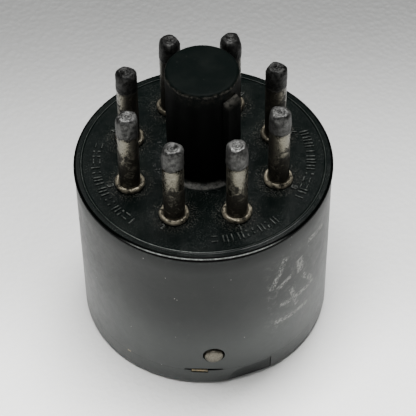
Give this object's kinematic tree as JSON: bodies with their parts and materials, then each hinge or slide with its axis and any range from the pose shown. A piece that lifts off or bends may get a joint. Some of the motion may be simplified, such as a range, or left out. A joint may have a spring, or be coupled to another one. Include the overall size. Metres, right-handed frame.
{
  "type": "plug in relay",
  "caption": "Octal plug-in relay: keyed guide post and ring of pins on a round black moulded base and cover, with a hinged armature, coil and changeover contacts inside.",
  "frame": {"origin": "centre of the end cap's resting face, on the axis of the guide post", "axes": "+Z from the end cap to the pins, along the guide post; -Y towards the guide post's key"},
  "size_m": [0.0286, 0.0286, 0.0359],
  "materials": {
    "armature": "nickel-plated soft iron",
    "blade_carrier": "brown phenolic",
    "blade_clamp_plate": "brown phenolic",
    "block_screw_left": "zinc-plated steel",
    "block_screw_right": "zinc-plated steel",
    "carrier_rivet_left": "brass",
    "carrier_rivet_right": "brass",
    "catch_button_front": "nickel-plated brass, worn and speckled",
    "catch_button_rear": "nickel-plated brass, worn and speckled",
    "catch_leaf_front": "spring brass",
    "catch_leaf_rear": "spring brass",
    "chassis_plate": "stamped brass, dull",
    "coil_bobbin": "ivory nylon",
    "coil_core": "turned soft iron",
    "coil_tape": "yellow-brown insulating tape",
    "coil_winding": "enamelled copper wire",
    "contact_block": "brown phenolic",
    "contact_pin_1": "tinned brass, tarnished, solder-filled tip",
    "contact_pin_2": "tinned brass, tarnished, solder-filled tip",
    "contact_pin_3": "tinned brass, tarnished, solder-filled tip",
    "contact_pin_4": "tinned brass, tarnished, solder-filled tip",
    "contact_pin_5": "tinned brass, tarnished, solder-filled tip",
    "contact_pin_6": "tinned brass, tarnished, solder-filled tip",
    "contact_pin_7": "tinned brass, tarnished, solder-filled tip",
    "contact_pin_8": "tinned brass, tarnished, solder-filled tip",
    "core_screw": "zinc-plated steel",
    "cover_shell": "satin black moulded plastic, scuffed",
    "end_cap": "satin black moulded plastic",
    "frame_screw_left": "zinc-plated steel",
    "frame_screw_right": "zinc-plated steel",
    "frame_yoke": "nickel-plated soft iron",
    "header_base": "glossy black moulded phenolic, worn along the rim and the post's top edge",
    "hinge_pin": "bright steel",
    "lead_wire_1": "red insulated stranded wire",
    "lead_wire_2": "blue insulated stranded wire",
    "lead_wire_3": "yellow insulated stranded wire",
    "lead_wire_4": "white insulated stranded wire",
    "lead_wire_5": "white insulated stranded wire",
    "lead_wire_6": "yellow insulated stranded wire",
    "lead_wire_7": "blue insulated stranded wire",
    "lead_wire_8": "red insulated stranded wire",
    "moving_blade_left": "phosphor bronze strip",
    "moving_blade_right": "phosphor bronze strip",
    "moving_contact_left": "silver alloy",
    "moving_contact_right": "silver alloy",
    "nc_contact_left": "silver alloy",
    "nc_contact_right": "silver alloy",
    "nc_terminal_left": "brass strip",
    "nc_terminal_right": "brass strip",
    "no_contact_left": "silver alloy",
    "no_contact_right": "silver alloy",
    "no_terminal_left": "brass strip",
    "no_terminal_right": "brass strip",
    "return_spring": "spring steel wire"
  },
  "bodies": {
    "housing": {"block_screw_left": "block_screw_left", "block_screw_right": "block_screw_right", "catch_leaf_front": "catch_leaf_front", "catch_leaf_rear": "catch_leaf_rear", "chassis_plate": "chassis_plate", "coil_bobbin": "coil_bobbin", "coil_core": "coil_core", "coil_tape": "coil_tape", "coil_winding": "coil_winding", "contact_block": "contact_block", "contact_pin_1": "contact_pin_1", "contact_pin_2": "contact_pin_2", "contact_pin_3": "contact_pin_3", "contact_pin_4": "contact_pin_4", "contact_pin_5": "contact_pin_5", "contact_pin_6": "contact_pin_6", "contact_pin_7": "contact_pin_7", "contact_pin_8": "contact_pin_8", "core_screw": "core_screw", "cover_shell": "cover_shell", "end_cap": "end_cap", "frame_screw_left": "frame_screw_left", "frame_screw_right": "frame_screw_right", "frame_yoke": "frame_yoke", "header_base": "header_base", "hinge_pin": "hinge_pin", "lead_wire_1": "lead_wire_1", "lead_wire_2": "lead_wire_2", "lead_wire_3": "lead_wire_3", "lead_wire_4": "lead_wire_4", "lead_wire_5": "lead_wire_5", "lead_wire_6": "lead_wire_6", "lead_wire_7": "lead_wire_7", "lead_wire_8": "lead_wire_8", "nc_contact_left": "nc_contact_left", "nc_contact_right": "nc_contact_right", "nc_terminal_left": "nc_terminal_left", "nc_terminal_right": "nc_terminal_right", "no_contact_left": "no_contact_left", "no_contact_right": "no_contact_right", "no_terminal_left": "no_terminal_left", "no_terminal_right": "no_terminal_right", "return_spring": "return_spring"},
    "armature_assembly": {"armature": "armature", "blade_carrier": "blade_carrier", "blade_clamp_plate": "blade_clamp_plate", "moving_blade_left": "moving_blade_left", "moving_blade_right": "moving_blade_right", "moving_contact_left": "moving_contact_left", "moving_contact_right": "moving_contact_right", "carrier_rivet_left": "carrier_rivet_left", "carrier_rivet_right": "carrier_rivet_right"},
    "front_catch": {"catch_button_front": "catch_button_front"},
    "rear_catch": {"catch_button_rear": "catch_button_rear"}
  },
  "joints": [
    {"name": "armature_hinge", "type": "hinge", "parent": "housing", "child": "armature_assembly", "pos_m": [0, 0.0028, 0.0044], "axis": [-1, 0, 0], "range_deg": [0, 3.2], "stiffness_Nm_per_rad": 0.02, "springref_deg": -11.46, "deforming": ["return_spring"]},
    {"name": "catch_front_press", "type": "slide", "parent": "housing", "child": "front_catch", "axis": [0.6794, 0.7337, 0], "range_m": [0, 0.00125], "stiffness_N_per_m": 800, "springref_m": -0.0004, "deforming": ["catch_leaf_front"]},
    {"name": "catch_rear_press", "type": "slide", "parent": "housing", "child": "rear_catch", "axis": [-0.6794, -0.7337, 0], "range_m": [0, 0.00125], "stiffness_N_per_m": 800, "springref_m": -0.0004, "deforming": ["catch_leaf_rear"]}
  ]
}
